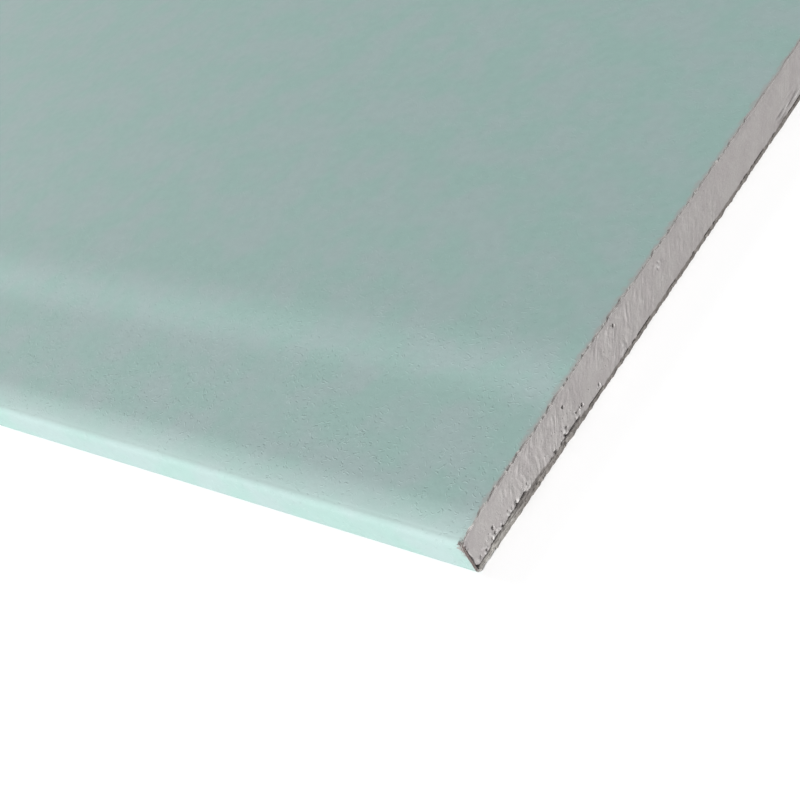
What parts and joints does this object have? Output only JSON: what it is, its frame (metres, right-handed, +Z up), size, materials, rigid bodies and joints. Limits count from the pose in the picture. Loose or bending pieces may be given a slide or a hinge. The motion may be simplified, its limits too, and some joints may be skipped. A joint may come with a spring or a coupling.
{
  "type": "drywall sheet",
  "caption": "Flat green-faced plasterboard sheet with tapered, paper-wrapped long edges, square raw cut ends showing the gypsum core, and a grey paper back.",
  "frame": {"origin": "centre of the back of the sheet, on the level floor that it lies on", "axes": "+X along the paper-wrapped long edges, +Y across the sheet, +Z up out of the green face"},
  "size_m": [2.4, 1.2, 0.0125],
  "materials": {
    "gypsum": "matt, sawn",
    "green_paper": "matt, fibrous",
    "grey_paper": "matt, fibrous, unbleached"
  },
  "bodies": {
    "root": {"gypsum_core": "gypsum", "face_paper": "green_paper", "back_paper": "grey_paper"}
  },
  "joints": []
}
